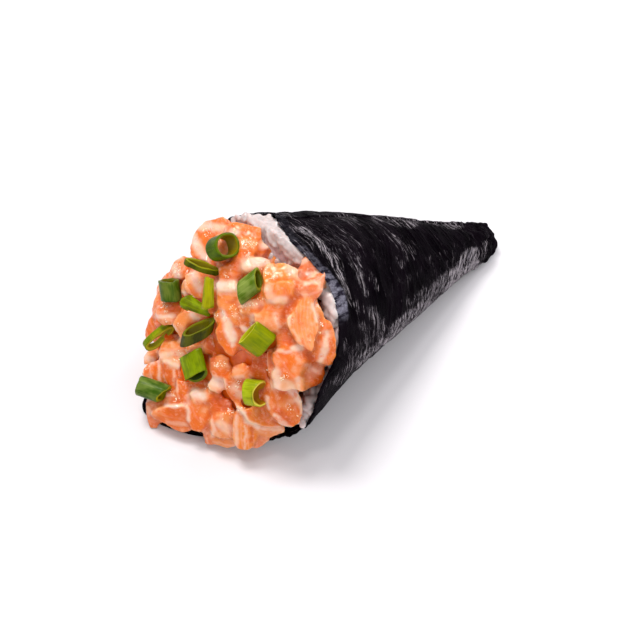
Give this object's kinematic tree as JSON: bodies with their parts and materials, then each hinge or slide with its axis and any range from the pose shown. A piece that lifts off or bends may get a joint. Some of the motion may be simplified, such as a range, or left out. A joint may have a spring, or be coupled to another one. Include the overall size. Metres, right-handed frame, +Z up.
{
  "type": "temaki hand roll",
  "caption": "Cone of rolled nori lined with sushi rice, its open end heaped with diced raw salmon and topped with cut spring onion.",
  "frame": {"origin": "under the middle of the whole, at floor level", "axes": "+Z up, -Y out of the open end, +Y towards the closed tip, the roll lies on its side"},
  "size_m": [0.0804, 0.1466, 0.0658],
  "materials": {
    "nori": "dried seaweed sheet, near black, fibrous, slightly glossy",
    "rice": "cooked sushi rice, white, translucent, moist",
    "salmon": "raw salmon cut in dice, wet and translucent, white fat lines",
    "spring_onion": "fresh spring onion leaf, bright to dark green, moist"
  },
  "bodies": {
    "root": {"nori": "nori", "rice": "rice", "salmon": "salmon", "spring_onion_01": "spring_onion", "spring_onion_02": "spring_onion", "spring_onion_03": "spring_onion", "spring_onion_04": "spring_onion", "spring_onion_05": "spring_onion", "spring_onion_06": "spring_onion", "spring_onion_07": "spring_onion", "spring_onion_08": "spring_onion", "spring_onion_09": "spring_onion", "spring_onion_10": "spring_onion", "spring_onion_11": "spring_onion", "spring_onion_12": "spring_onion"}
  },
  "joints": []
}
